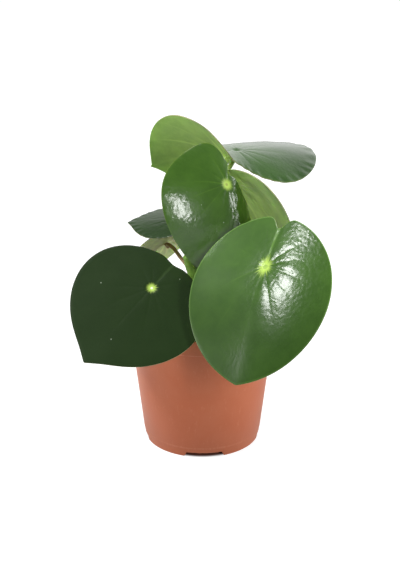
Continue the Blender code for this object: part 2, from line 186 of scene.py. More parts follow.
LEAVES = [
    Leaf(
        name="front_right", seat=(44.5, -78, 173.5), heading=-122, dip=48, roll=10,
        length=124, width=113, behind=0.32, egg=0.06, point=4, notch=9.5,
        tip_bend=26, base_bend=0, left_bend=52, right_bend=-9, tip_spread=10, notch_spread=8,
        stem_height=120, stalk=[(16, -14, 136), (34, -42, 149), (48, -63, 161)],
        stalk_radius=2.2, face="mid", puff=0.35, funnel=0.8, crease=0.1, lap=-0.2, calm=0.85,
        wave=0.4, seed=1.0,
    ),
    Leaf(
        name="front_left", seat=(-37.8, -40, 141), heading=-139, dip=32, roll=-30,
        length=95, width=104, behind=0.29, egg=0.11, point=9.5, notch=2.5,
        tip_bend=3, base_bend=14, left_bend=8, right_bend=1, tip_spread=11,
        stem_height=109, stalk=[(-20, -12, 118), (-33, -25, 127)],
        stalk_radius=2.2, face="dark", puff=0.05, crease=0.1, wave=0.3, seed=2.0,
    ),
    Leaf(
        name="upper_middle", seat=(18.5, -17, 214.6), heading=-97, dip=45, roll=-38,
        length=89, width=100, behind=0.28, egg=0.02, point=6, notch=7,
        tip_bend=86, base_bend=52, left_bend=174, right_bend=46, left_fade=2.15,
        shear=0.10, left_lobe=(-20, 136, 47), right_lobe=(7.5, 140, 28),
        stem_height=140, stalk=[(-1, -8, 159), (5, -8, 182), (11, -8, 201)],
        face="fresh", puff=0.15, crease=0.3, wave=0.4, ripple=0.1, pucker=0.5, seed=3.0,
    ),
    Leaf(
        name="top_left", seat=(19.7, 22, 223.8), heading=131, dip=3, roll=50,
        length=83, width=95, behind=0.17, egg=0.10, point=6.5, notch=7,
        tip_bend=52, base_bend=241, left_bend=0, right_bend=169, right_share=0.58,
        right_lobe=(-22, 101, 61), tip_spread=10,
        stem_height=148, stalk=[(-3, 1, 164), (9, 4, 184), (18, 13, 205)], stalk_radius=2.4,
        under="bright", puff=0.2, crease=0.3, wave=0.5, seed=4.0,
    ),
    Leaf(
        name="top_right", seat=(27.2, 66, 215.5), heading=42, dip=4, roll=1,
        length=101, width=99, behind=0.24, egg=0.15, point=4, notch=5,
        tip_bend=14, base_bend=-46, left_bend=57, right_bend=80, tip_spread=10,
        stem_height=141, stalk=[(-4, 13, 158), (1, 28, 169), (8, 46, 181), (18, 60, 196)],
        face="hazy", puff=0.15, crease=0.5, wave=0.6, ripple=0.25, seed=5.0,
    ),
    Leaf(
        name="back_right", seat=(24.6, 31.2, 199.3), heading=-12, dip=29, roll=-47.5,
        length=92.5, width=93, behind=0.13, egg=0.08, point=6, notch=4,
        tip_bend=64, base_bend=0, left_bend=29, right_bend=38, left_lobe=(-4, 140, 28),
        stem_height=130, stalk=[(7.3, 7, 154), (17.3, 16.3, 176)],
        under="bright", puff=0.2, crease=0.3, wave=0.5, seed=6.0,
    ),
    Leaf(
        name="mid_left", seat=(-16, 22, 174.3), heading=163, dip=7, roll=-5,
        length=53, width=60, behind=0.27, egg=0.07, point=7, notch=5,
        tip_bend=17, base_bend=29, left_bend=48, right_bend=34,
        stem_height=145, stalk=[(-13, 7, 156), (-16.5, 16, 165)],
        stalk_radius=1.6, face="glossy", puff=0.15, crease=0.3, wave=0.3, ripple=0.15,
        seed=7.0,
    ),
    Leaf(
        name="back_left", seat=(-29.9, 46, 145.3), heading=196, dip=29, roll=43,
        length=84, width=71, behind=0.29, egg=0.10, point=6, notch=5,
        tip_bend=46, base_bend=32, left_bend=23, right_bend=17, reddish=True,
        stem_height=137, stalk=[(-16, 9, 145), (-22, 25, 147), (-27, 39, 145.5)],
        stalk_radius=1.5, under="pale", puff=0.2, crease=0.3, wave=0.5, seed=8.0,
    ),
]


# Sizes and colours that a user may change

def length_setting(name, description, default):
    """A length, with its default in mm."""
    return FloatProperty(name=name, description=description, default=default * MM,
                         subtype="DISTANCE", unit="LENGTH")


def colour_setting(name, description, default):
    return FloatVectorProperty(name=name, description=description, default=default,
                               subtype="COLOR", size=3, min=0, max=1)


class PotSettings(bpy.types.PropertyGroup):
    """The pot's finish and the small forms that the solids leave out."""

    segments: IntProperty(
        name="Segments", description="Sides of the turned wall", default=144, min=24, max=256)
    line_depth: length_setting("Line Depth", "Depth of the moulding line above the foot", 0.25)
    line_height: length_setting("Line Height", "Height of the moulding line above the foot", 8)
    colour: colour_setting("Colour", "Colour of the plastic", (0.52, 0.146, 0.068))
    # Also the colour of the painted highlight line under the rim band.
    scuffed_and_highlit_colour: colour_setting(
        "Dusty Colour", "Colour of the paler, scuffed plastic", (0.62, 0.23, 0.13))


class SoilSettings(bpy.types.PropertyGroup):
    """The potting soil."""

    lump: length_setting("Lumps", "Height of the lumps in the surface", 1.2)
    crumbs: IntProperty(
        name="Crumbs", description="Number of loose crumbs", default=260, min=0, max=600)
    crumb_size: length_setting("Crumb Size", "Radius of the largest crumbs", 2.4)
    colour: colour_setting("Colour", "Colour of damp soil", (0.030, 0.018, 0.012))
    dry_colour: colour_setting("Dry Colour", "Colour of dry crumbs", (0.085, 0.052, 0.034))


class PlantSettings(bpy.types.PropertyGroup):
    """The plant's relief and colours."""

    vein_depth: length_setting(
        "Vein Depth", "How far the veins are sunk in the upper face", 0.045)
    dimple_depth: length_setting(
        "Dimple Depth", "How far the blade is sunk over its stalk", 0.7)
    dimple_radius: length_setting("Dimple Radius", "Radius of the dimple over the stalk", 3.4)
    margin_roll: length_setting("Margin Roll", "How far the margin is rolled down", 0.1)
    face_colour: colour_setting(
        "Face Colour", "Colour of a grown leaf's upper face", (0.040, 0.102, 0.0125))
    # Painted shade: a darker copy of the face colour, for the leaves that catch little light.
    painted_shade_face_colour: colour_setting(
        "Dark Face Colour", "Colour of the oldest leaf's upper face", (0.0130, 0.030, 0.0065))
    fresh_colour: colour_setting(
        "Fresh Face Colour", "Colour of a younger leaf's upper face", (0.038, 0.100, 0.009))
    under_colour: colour_setting(
        "Underside Colour", "Colour of the undersides", (0.26, 0.40, 0.10))
    spot_colour: colour_setting(
        "Spot Colour", "Colour of the spot over the stalk", (0.42, 0.60, 0.11))
    stalk_colour: colour_setting(
        "Stalk Colour", "Colour of the leaf stalks", (0.25, 0.40, 0.06))
    red_stalk_colour: colour_setting(
        "Reddish Stalk Colour", "Colour of the reddish leaf stalk", (0.33, 0.21, 0.10))
    stem_colour: colour_setting("Stem Colour", "Colour of the stem", (0.13, 0.26, 0.035))


class StageSettings(bpy.types.PropertyGroup):
    """The floor and the light around the object."""

    floor_size: length_setting("Floor Size", "Width of the floor", 4000)
    floor_colour: colour_setting("Floor Colour", "Colour of the floor", (0.4, 0.4, 0.4))
    floor_glow: FloatProperty(
        name="Floor Glow", description="Light that the floor shows to the camera only",
        default=0.82, min=0)
    floor_mirror_glow: FloatProperty(
        name="Floor Mirror Glow", description="Light that the floor shows in mirror images",
        default=0.3, min=0)
    light_scale: FloatProperty(
        name="Light Scale", description="Strength of all lights together", default=1.0, min=0)


# Selecting and editing, as by hand

def deselect_all():
    bpy.ops.object.select_all(action="DESELECT")


def make_active(piece):
    deselect_all()
    piece.select_set(True)
    bpy.context.view_layer.objects.active = piece


@contextmanager
def editing(piece, kind="VERT"):
    """Edit mode on one piece."""
    make_active(piece)
    bpy.ops.object.mode_set(mode="EDIT")
    bpy.ops.mesh.select_mode(type=kind)
    yield
    bpy.ops.object.mode_set(mode="OBJECT")


def select_where(piece, kind, test):
    """In edit mode, select the "verts" or "faces" that pass the test, and nothing else."""
    bm = bmesh.from_edit_mesh(piece.data)
    for element in (*bm.verts, *bm.edges, *bm.faces):
        element.select = False
    for element in getattr(bm, kind):
        if test(element):
            element.select_set(True)
    bm.select_flush(True)
    bmesh.update_edit_mesh(piece.data)


def close_surface():
    """In edit mode, merge points that coincide and turn the faces outward."""
    bpy.ops.mesh.select_all(action="SELECT")
    bpy.ops.mesh.remove_doubles(threshold=TINY)
    bpy.ops.mesh.normals_make_consistent(inside=False)


def extrude_ring(rise, scale):
    """Pull the selected ring of edges out into a new one, higher and wider by these amounts."""
    bpy.ops.mesh.extrude_edges_move(TRANSFORM_OT_translate={"value": (0, 0, rise)})
    if abs(scale - 1) > 1e-9:
        bpy.ops.transform.resize(value=(scale, scale, 1))


def merge_ring():
    """Pull the selected ring of edges in to its centre."""
    bpy.ops.mesh.extrude_edges_move()
    bpy.ops.mesh.merge(type="CENTER")


def turned(profile, sides):
    """A turned body: from its first radius and height, a ring is pulled along the profile."""
    radius, height = profile[0]
    deselect_all()
    bpy.ops.mesh.primitive_circle_add(
        vertices=sides, radius=radius, fill_type="TRIFAN", location=(0, 0, height))
    piece = bpy.context.object
    bpy.ops.object.transform_apply(location=True)
    with editing(piece, "EDGE"):
        select_where(piece, "verts", lambda vert: vert.co.xy.length > 0.9 * radius)
        bpy.ops.mesh.select_mode(type="EDGE")
        for (near, low), (far, high) in zip(profile, profile[1:]):
            extrude_ring(high - low, far / near)
        merge_ring()
        close_surface()
    return piece


def copy_of(blank):
    piece = blank.copy()
    piece.data = blank.data.copy()
    bpy.context.collection.objects.link(piece)
    return piece


def remove(piece):
    bpy.data.objects.remove(piece, do_unlink=True)


def set_all(thing, **settings):
    """Set several values of a thing by their names."""
    for name, value in settings.items():
        setattr(thing, name, value)


def add_modifier(piece, kind, **settings):
    set_all(piece.modifiers.new(kind.lower(), kind), **settings)


def bevel(piece, width, angle):
    add_modifier(piece, "BEVEL", width=width, segments=2, limit_method="ANGLE",
                 angle_limit=math.radians(angle))


def apply_modifiers(piece):
    make_active(piece)
    for modifier in list(piece.modifiers):
        bpy.ops.object.modifier_apply(modifier=modifier.name)


def cut(piece, cutter):
    add_modifier(piece, "BOOLEAN", operation="DIFFERENCE", solver="EXACT", object=cutter)
    apply_modifiers(piece)
    remove(cutter)


def shade(piece, angle):
    """Smooth the piece up to an angle between faces."""
    make_active(piece)
    bpy.ops.object.shade_smooth_by_angle(angle=math.radians(angle))


def rename(piece, name):
    piece.name = name
    piece.data.name = name


def settle(piece, name, nodes):
    """Put the piece's place into its mesh, name it, and fix it to the frame."""
    make_active(piece)
    bpy.ops.object.transform_apply(location=True, rotation=True, scale=True)
    rename(piece, name)
    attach(piece, "root")
    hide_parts(*nodes)


# Nodes

def sign(operation, swapped=False):
    """What a sign such as the plus does with a value: it adds a math node."""
    def work_out(value, other):
        pair = (other, value) if swapped else (value, other)
        return value.net.math(operation, *pair)
    return work_out


class Value:
    """What a node gives out. Sums and products of values add math nodes."""

    __add__ = __radd__ = sign("ADD")
    __mul__ = __rmul__ = sign("MULTIPLY")
    __sub__ = sign("SUBTRACT")
    __rsub__ = sign("SUBTRACT", swapped=True)
    __truediv__ = sign("DIVIDE")
    __rtruediv__ = sign("DIVIDE", swapped=True)
    __gt__ = sign("GREATER_THAN")

    def __init__(self, net, socket):
        self.net = net
        self.socket = socket

    def __abs__(self):
        return self.net.math("ABSOLUTE", self)


class Net:
    """A node tree in the making, with short calls for the nodes that are used most."""

    def __init__(self, tree):
        self.tree = tree
        self.count = 0

    def node(self, kind, inputs=(), **settings):
        """Add a node. Its outputs come back as values, by number and by name."""
        prefix = "" if kind.startswith("NodeGroup") else "ShaderNode"
        node = self.tree.nodes.new(prefix + kind)
        node.location = (180 * (self.count % 12), -220 * (self.count // 12))
        self.count += 1
        set_all(node, **settings)
        self.feed(node, inputs)
        outputs = {}
        for number, socket in enumerate(node.outputs):
            outputs[number] = outputs[socket.name] = Value(self, socket)
        return outputs

    def feed(self, node, inputs):
        """Link values to a node's inputs, or set them, by name or number."""
        for name, value in dict(inputs).items():
            socket = node.inputs[name]
            if isinstance(value, Value):
                self.tree.links.new(value.socket, socket)
            elif socket.type == "RGBA":
                socket.default_value = (*value, 1.0)
            else:
                socket.default_value = value

    def math(self, operation, first, second=0.0, clamp=False):
        return self.node("Math", {0: first, 1: second}, operation=operation, use_clamp=clamp)[0]

    def mix(self, share, first, second):
        return self.node("Mix", {0: share, 6: first, 7: second}, data_type="RGBA")[2]

    def smooth(self, value, low, high, start=0.0, end=1.0):
        """Go from start to end, softly, as the value goes from low to high."""
        return self.node("MapRange", {0: value, 1: low, 2: high, 3: start, 4: end},
                         interpolation_type="SMOOTHSTEP", clamp=True)[0]

    def radius(self, first, second, scale=1.0):
        """Distance from the origin of a pair of values, times the scale."""
        return self.math("SQRT", first * first + second * second) * scale

    def noise(self, vector, scale, detail=2.0, roughness=0.5):
        return self.node("TexNoise", {"Vector": vector, "Scale": scale, "Detail": detail,
                                      "Roughness": roughness})[0]

    def cells(self, vector, scale, chance, **settings):
        """Distance to the middle of the nearest cell, and whether the cell is one of the few."""
        cells = self.node("TexVoronoi", {"Vector": vector, "Scale": scale}, **settings)
        return cells["Distance"], self.separate(cells["Color"])[0] > chance

    def combine(self, *parts):
        return self.node("CombineXYZ", dict(enumerate(parts)))[0]

    def separate(self, vector):
        parts = self.node("SeparateXYZ", {0: vector})
        return parts[0], parts[1], parts[2]

    def place(self):
        return self.node("TexCoord")["Object"]

    def uv(self, name):
        """The two parts of the place on a UV map."""
        return self.separate(self.node("UVMap", uv_map=name)[0])[:2]

    def grain(self, blotch_size, grain_size):
        """Soft blotches and fine grain, of these sizes in mm."""
        sizes = {"Blotch Size": blotch_size * MM, "Grain Size": grain_size * MM}
        tree = shared_group("blotches and grain", sizes, blotches_and_grain)
        outputs = self.node("Group", sizes, node_tree=tree)
        return outputs["Blotch"], outputs["Grain"]


def shared_group(name, labels, build):
    """A shader node group, made once. From its inputs, build gives its outputs by name."""
    if name in bpy.data.node_groups:
        return bpy.data.node_groups[name]
    tree = bpy.data.node_groups.new(name, "ShaderNodeTree")
    for label in labels:
        tree.interface.new_socket(label, in_out="INPUT", socket_type="NodeSocketFloat")
    net = Net(tree)
    outputs = build(net, net.node("NodeGroupInput"))
    for label in outputs:
        tree.interface.new_socket(label, in_out="OUTPUT", socket_type="NodeSocketFloat")
    net.node("NodeGroupOutput", outputs)
    return tree


def new_material(name, constants):
    """A Principled material. The constants are set on the shader's own sockets."""
    material = bpy.data.materials.new(name)
    material.use_nodes = True
    net = Net(material.node_tree)
    shader = material.node_tree.nodes["Principled BSDF"]
    net.feed(shader, constants)
    return material, net, shader


def finish_surface(net, shader, colour, roughness, height):
    """Feed the shader, with the height in mm. It returns the bumped normal."""
    bump = net.node("Bump", {"Height": height, "Distance": MM, "Strength": 1.0})[0]
    net.feed(shader, {"Base Color": colour, "Roughness": roughness, "Normal": bump})
    return bump


def shift(colour, factor):
    return tuple(min(1.0, channel * share) for channel, share in zip(colour, factor))


def blotches_and_grain(net, entry):
    blotch = net.noise(net.place(), 1.0 / entry["Blotch Size"], 3.0, 0.55)
    grain = net.noise(net.place(), 1.0 / entry["Grain Size"], 2.0, 0.6)
    return {"Blotch": net.smooth(blotch, 0.3, 0.7), "Grain": grain}


def leaf_pattern(net, entry):
    """Where the veins, the seat spot, the margin and the specks are, and the fine relief."""
    turn, share = net.uv("polar")
    along, across = net.uv("flat")
    place = net.place()
    radius_mm = net.radius(along, across, FLAT_UNIT / MM)
    # Distance to the nearest vein, in mm, with some veins fainter than others
    scaled = turn * VEIN_COUNT
    index = net.math("ROUND", scaled)
    aside = abs(scaled - index) * (math.tau / VEIN_COUNT) * radius_mm
    aside = aside + (net.noise(place, 260.0) - 0.5) * 0.9
    chance = net.noise(net.combine(index * 1.618, entry["Seed"]), 1.0, 0.0)
    vein = net.smooth(aside, entry["Vein Width"] * 1.6, entry["Vein Width"] * -0.2)
    vein = vein * net.smooth(share, entry["Vein Reach"], 0.08)
    vein = vein * net.smooth(net.noise(place, 60.0), 0.25, 0.6)
    vein = vein * net.smooth(chance, 0.38, 0.62, 0.15, 1.0)
    # The spot over the stalk, drawn out into rays, with a small core
    spot_radius = net.radius(along / entry["Spot Stretch"], across, FLAT_UNIT / MM)
    rays = net.noise(net.combine(turn * 34.0, entry["Seed"]), 1.0)
    reach = net.math("MAXIMUM", (rays - 0.5) * entry["Ray Length"] + 1.0, 0.45)
    spot = spot_radius / (entry["Spot Size"] * reach)
    core = spot_radius / entry["Spot Size"]
    # The line from the seat to the notch, the way to the tip, and the right half
    off_fold = net.math("MINIMUM", turn, 1.0 - turn) * math.tau * radius_mm
    fold = net.smooth(off_fold, 1.1, 0.25) * net.smooth(share, 0.05, 0.35)
    tipward = net.smooth(along, -0.10, 0.60)
    right_half = net.smooth(across, 0.10, -0.20)
    # A few tiny pale specks
    off_speck, chosen = net.cells(place, 120.0, 0.86)
    speck = net.smooth(off_speck, 0.060, 0.035) * chosen
    # Fine relief: streaks that run out from the seat, a crackle of small facets, and grain
    streak = net.noise(net.combine(turn * 46.0, share * 3.0, entry["Seed"]), 1.0)
    bent = net.noise(place, 150.0) * (4 * MM)
    moved = net.node("VectorMath", {0: place, 1: net.combine(bent, bent, bent)}, operation="ADD")
    facets = net.node("TexVoronoi", {"Vector": moved[0], "Scale": 340.0, "Smoothness": 0.6},
                      feature="SMOOTH_F1")
    height = streak * entry["Streak Height"] * (1.0 - tipward * 0.8)
    height = height - facets["Distance"] * entry["Crackle Height"]
    height = height + net.noise(place, 700.0, 2.0, 0.55) * entry["Grain Height"]
    calm = net.math("MAXIMUM", right_half, tipward * 0.8) * entry["Right Calm"]
    return {"Vein": vein, "Spot": net.smooth(spot, 1.35, 0.35),
            "Core": net.smooth(core, 0.36, 0.16), "Margin": net.smooth(share, 0.978, 0.995),
            "Fold": fold, "Speck": speck, "Height": height * (1.0 - calm), "Streak": streak,
            "Tipward": tipward, "Right Half": right_half}


@dataclass
class Finish:
    """How one kind of leaf surface looks. Factors are of red, green and blue."""

    light: tuple = (1.25, 1.2, 1.2)      # the paler tone against the colour
    shade: tuple = (0.85, 0.88, 0.85)    # the darker tone
    vein: tuple = (2.6, 2.1, 2.2)
    edge: tuple = (5.0, 3.0, 3.0)
    core: tuple = (0.75, 0.80, 0.45)     # colour of the middle of the spot
    vein_share: float = 0.35
    vein_width: float = 0.55
    vein_reach: float = 0.85
    spot_size: float = 4.0
    spot_stretch: float = 1.0
    spot_share: float = 1.0
    ray_length: float = 2.6
    spot_matt: float = 0.25
    core_share: float = 0.6
    fold_share: float = 0.3
    # painted shade: how much darker the tip half is painted
    tip_painted_shade: float = 0.0               # how much darker the tip half is
    tip_dull: float = 0.0                # how much less gloss the tip half has
    edge_share: float = 0.5
    speck_share: float = 0.6
    streak_height: float = 0.06
    crackle_height: float = 0.10
    grain_height: float = 0.02
    mottle: float = 1.0
    roughness: float = 0.40
    sheen: float = 0.15                  # strength of the broad sheen
    right_calm: float = 0.0              # how far the right half loses relief and gloss
    gloss: float = 1.0                   # share of the clear, waxy layer on top
    gloss_roughness: float = 0.20
    subsurface: float = 0.0


FACES = {
    "mid": Finish(spot_size=5.2, spot_stretch=1.35, vein_share=0.3,
                  crackle_height=0.15, roughness=0.34, sheen=0.1, right_calm=0.8,
                  # the mid face's pale edge colour is partly a painted rim highlight
                  gloss_roughness=0.22, edge=(5.0, 3.6, 7.0), edge_share=0.6,
                  core_share=0.25, fold_share=0.45, tip_painted_shade=0.5, tip_dull=0.5),
    "dark": Finish(mottle=0.3, spot_size=3.6, ray_length=1.5, vein_share=0.08,
                   streak_height=0.01, crackle_height=0.02, edge=(1.2, 1.0, 1.0),
                   core=(0.85, 0.9, 0.75), core_share=0.8, sheen=0.1, gloss=0.4),
    "fresh": Finish(spot_size=4.4, ray_length=0.8, vein_share=0.5, streak_height=0.05,
                    crackle_height=0.11, core=(0.20, 0.17, 0.06), core_share=0.5,
                    edge_share=0.3, roughness=0.34, sheen=0.18),
    "hazy": Finish(spot_size=3.0, spot_share=0.0, vein_share=0.12, streak_height=0.07,
                   crackle_height=0.06, core_share=0.0, tip_painted_shade=0.5, sheen=0.2, gloss=0.8,
                   gloss_roughness=0.22),
    "glossy": Finish(spot_size=3.0, spot_share=0.3, vein_share=0.06, streak_height=0.05,
                     crackle_height=0.11, core_share=0.0, edge=(1.2, 1.0, 1.0),
                     sheen=0.1, gloss=0.4),
}
UNDERSIDE = Finish(
    light=(1.25, 1.2, 1.25), shade=(0.78, 0.82, 0.78), vein=(2.0, 1.7, 1.9),
    edge=(0.35, 0.35, 0.25), vein_share=0.7, vein_width=1.4, vein_reach=1.3,
    spot_size=5.0, spot_share=0.15, spot_matt=0.0, core_share=0.0, fold_share=0.0,
    edge_share=0.6, speck_share=0.0, streak_height=0.08, crackle_height=0.05,
    roughness=0.5, sheen=0.4, gloss=0.0, subsurface=0.6)
UNDERSIDE_TINTS = {
    "plain": (1.0, 1.0, 1.0), "bright": (1.0, 1.05, 0.9), "pale": (2.0, 1.55, 2.8)}


# What the leaf pattern takes from a finish
PATTERN_SIZES = ("Vein Width", "Vein Reach", "Spot Size", "Spot Stretch", "Ray Length",
                 "Streak Height", "Crackle Height", "Grain Height", "Right Calm")


def leaf_material(name, finish, colour, spot_colour, seed):
    """A waxy leaf surface: blotches, veins that fan out, a spot over the stalk, a thin edge that
    is partly painted rim highlight, and painted shade on the tip half.
    """
    material, net, shader = new_material(name, {
        "IOR": 1.45, "Specular IOR Level": finish.sheen,
        "Coat Roughness": finish.gloss_roughness,
        "Subsurface Weight": finish.subsurface, "Subsurface Scale": 1.6 * MM,
        "Subsurface Radius": (1.0, 1.3, 0.4)})
    sizes = {label: getattr(finish, label.lower().replace(" ", "_")) for label in PATTERN_SIZES}
    sizes["Seed"] = seed
    pattern = net.node("Group", sizes,
                       node_tree=shared_group("leaf pattern", sizes, leaf_pattern))
    blotch, grain = net.grain(14, 1.1)
    light = shift(colour, finish.light)
    tone = net.math("ADD", blotch * 0.7, pattern["Streak"] * 0.35, clamp=True)
    shown = net.mix(tone * finish.mottle, shift(colour, finish.shade), light)
    shown = net.mix(net.smooth(grain, 0.45, 0.75, 0.0, 0.25), shown, light)
    # The margin line fades towards the tip: on the mid face it is partly the margin's own pale
    # colour and partly a painted rim highlight along the base lobes.
    edge = pattern["Margin"] * (1.0 - pattern["Tipward"] * 0.8)
    for mask, share, layer in (
            # painted shade: the tip half painted darker
            (pattern["Tipward"], finish.tip_painted_shade, shift(colour, (0.3, 0.3, 0.4))),
            (pattern["Vein"], finish.vein_share, shift(colour, finish.vein)),
            (pattern["Fold"], finish.fold_share, shift(colour, (3.6, 2.8, 4.0))),
            (pattern["Spot"], finish.spot_share, spot_colour),
            (pattern["Core"], finish.core_share, finish.core),
            (edge, finish.edge_share, shift(colour, finish.edge)),
            (pattern["Speck"], finish.speck_share, (0.5, 0.6, 0.45))):
        shown = net.mix(mask * share, shown, layer)
    calm = pattern["Right Half"] * finish.right_calm
    rough = blotch * (0.06 * finish.mottle) + finish.roughness + pattern["Speck"] * 0.3
    rough = rough + pattern["Spot"] * finish.spot_matt + calm * 0.1
    normal = finish_surface(net, shader, shown, rough, pattern["Height"])
    gloss = (1.0 - pattern["Tipward"] * finish.tip_dull) * (1.0 - calm * 0.6)
    gloss = gloss * (1.0 - pattern["Spot"] * (3 * finish.spot_matt)) * finish.gloss
    net.feed(shader, {"Coat Weight": gloss, "Coat Normal": normal})
    return material


def face_material(kind, seed):
    """The upper face of a leaf."""
    plant = bpy.context.scene.peperomia_plant
    # The dark and glossy faces take the painted shade colour.
    colour = {"dark": plant.painted_shade_face_colour, "glossy": shift(plant.painted_shade_face_colour, (1.5, 1.5, 1.8)),
              "fresh": plant.fresh_colour, "hazy": shift(plant.face_colour, (0.9, 0.9, 1.4)),
              }.get(kind, plant.face_colour)
    return leaf_material(f"{kind} leaf face {seed:.0f}", FACES[kind], colour,
                         plant.spot_colour, seed)


def under_material(kind, seed):
    """The underside of a leaf."""
    colour = shift(bpy.context.scene.peperomia_plant.under_colour, UNDERSIDE_TINTS[kind])
    return leaf_material(f"{kind} leaf underside {seed:.0f}", UNDERSIDE, colour,
                         shift(colour, (1.3, 1.2, 1.0)), seed + 0.5)


def rim_material():
    """The thin edge of the blades, between face and underside."""
    material, net, shader = new_material("leaf rim", {"IOR": 1.45})
    blotch, grain = net.grain(9, 0.8)
    shown = net.mix(blotch, (0.18, 0.22, 0.09), (0.34, 0.34, 0.16))
    finish_surface(net, shader, shown, grain * 0.15 + 0.35, grain * 0.03)
    return material


def stalk_material(name, colour, fleck_tint, fleck_share):
    """A juicy stalk: fine lines along it, paler blotches and small flecks."""
    material, net, shader = new_material(name, {
        "IOR": 1.42, "Subsurface Weight": 0.15, "Subsurface Scale": 2 * MM,
        "Subsurface Radius": (0.8, 1.0, 0.3)})
    around, along = net.uv("lengthways")
    fibre = net.noise(net.combine(around * 30.0, along * 6.0), 1.0, 3.0, 0.6)
    blotch, grain = net.grain(8, 0.7)
    shown = net.mix(blotch, shift(colour, (0.8, 0.85, 0.8)), shift(colour, (1.2, 1.12, 1.2)))
    shown = net.mix(net.smooth(fibre, 0.45, 0.8, 0.0, 0.4), shown,
                    shift(colour, (1.5, 1.35, 1.6)))
    off_fleck, chosen = net.cells(net.place(), 700.0, 0.55)
    fleck = net.smooth(off_fleck, 0.3, 0.16) * chosen * fleck_share
    shown = net.mix(fleck, shown, shift(colour, fleck_tint))
    finish_surface(net, shader, shown, grain * 0.12 + 0.38, fibre * 0.05 + grain * 0.02)
    return material


def pot_material():
    """Moulded terracotta-coloured plastic with faint scuffs, fine dark specks, paler towards the
    foot, and a painted highlight line under the rim band.
    """
    pot = bpy.context.scene.peperomia_pot
    material, net, shader = new_material("terracotta coloured plastic", {
        "IOR": 1.46, "Specular IOR Level": 0.3})
    blotch, grain = net.grain(22, 0.6)
    x, y, z = net.separate(net.place())
    drawn = net.noise(net.combine(x * 60.0, y * 60.0, z * 700.0), 1.0)
    scuffs = net.noise(net.combine(x * 90.0, y * 90.0, z * 25.0), 4.0, 4.0, 0.7)
    wear_and_highlight = net.smooth(scuffs, 0.56, 0.72, 0.0, 0.35) + blotch * 0.16
    # Paler towards the foot.
    wear_and_highlight = wear_and_highlight + net.smooth(z, 30 * MM, 0.0) * 0.12
    # Pale lines, broken where the scuff noise is low: under the rim band's lower lip a painted
    # highlight, and a paler line along the moulding line.
    for height, share in ((POT_NECK, 0.8), (pot.line_height, 0.5)):
        line = net.smooth(abs(z - height), 1.3 * MM, 0.3 * MM, 0.0, share)
        wear_and_highlight = net.math("ADD", wear_and_highlight, line * net.smooth(scuffs, 0.3, 0.6), clamp=True)
    shown = net.mix(wear_and_highlight, pot.colour, pot.scuffed_and_highlit_colour)
    shown = net.mix(net.smooth(grain, 0.3, 0.8, 0.0, 0.08), shown,
                    shift(pot.colour, (0.6, 0.6, 0.6)))
    finish_surface(net, shader, shown, wear_and_highlight * 0.2 + 0.36, drawn * 0.012 + grain * 0.02)
    return material


def soil_material(name, dark, dry, share):
    """Damp soil with drier, paler patches and a rough crumbly grain."""
    material, net, shader = new_material(name, {"IOR": 1.4})
    blotch, grain = net.grain(6, 0.9)
    shown = net.mix(blotch * share, dark, dry)
    shown = net.mix(net.smooth(grain, 0.55, 0.8, 0.0, 0.7), shown, dry)
    finish_surface(net, shader, shown, blotch * 0.15 + 0.82, grain * 0.9)
    return material


# The blades' form: the rule that the solids follow, with a finer relief on it

def leaf_axes(leaf):
    """Unit vectors towards the tip, the left side and the upper face."""
    heading, dip, roll = (math.radians(angle) for angle in (leaf.heading, leaf.dip, leaf.roll))
    tip = Vector((math.cos(heading) * math.cos(dip), math.sin(heading) * math.cos(dip),
                  -math.sin(dip)))
    level = Vector((-math.sin(heading), math.cos(heading), 0))
    upright = tip.cross(level)
    left = math.cos(roll) * level + math.sin(roll) * upright
    return tip, left, tip.cross(left)


def bell(offset, width):
    """A soft bump of height 1 in its middle, and 0.37 at this width from it."""
    return math.exp(-(offset / width) ** 2)


def outline_point(leaf, angle):
    """The flat outline around the seat, with the angle counted from the tip to the left."""
    half_length = leaf.length / 2
    half_width = leaf.width / 2
    ahead = half_length - leaf.behind * leaf.length
    cosine, sine = math.cos(angle), math.sin(angle)
    spread = (cosine / half_length) ** 2 + (sine / half_width) ** 2
    pull = ahead * cosine / half_length ** 2
    short = (ahead / half_length) ** 2 - 1
    reach = (pull + math.sqrt(pull * pull - spread * short)) / spread
    along = reach * cosine - ahead
    across = reach * sine * (1 - leaf.egg * along / half_length)
    along += ahead
    if across < 0:
        across *= leaf.right_share
    off_tip = abs(math.degrees(angle))
    along += leaf.point * math.exp(-(off_tip / leaf.tip_spread) ** TIP_SHARPNESS)
    along += leaf.notch * bell(180 - off_tip, leaf.notch_spread)
    along += leaf.shear * across
    longer, place, spread = leaf.left_lobe if across > 0 else leaf.right_lobe
    along -= longer * bell(off_tip - place, spread)
    return along * MM, across * MM


def curvature(bend):
    """Bend in degrees for each 100 mm as curvature, never quite flat."""
    value = math.radians(bend) / (100 * MM)
    return value if abs(value) > LEAST_CURVATURE else LEAST_CURVATURE


def bent_point(leaf, along, across):
    """Where a point of the flat blade goes once the blade is bent both ways."""
    if across > 0:
        fade = math.exp(-leaf.left_fade * min(max(along, FADE_FROM), FADE_TO) / (100 * MM))
        sideways = curvature(leaf.left_bend * fade)
    else:
        sideways = curvature(leaf.right_bend)
    lengthways = curvature(leaf.tip_bend if along > 0 else leaf.base_bend)
    aside = math.sin(sideways * across) / sideways
    drop = (math.cos(sideways * across) - 1) / sideways
    forward = (1 / lengthways + drop) * math.sin(lengthways * along)
    rise = (1 / lengthways + drop) * math.cos(lengthways * along) - 1 / lengthways
    return Vector((forward, aside, rise))


def soft_step(value, low, high):
    share = min(max((value - low) / (high - low), 0.0), 1.0)
    return share * share * (3 - 2 * share)


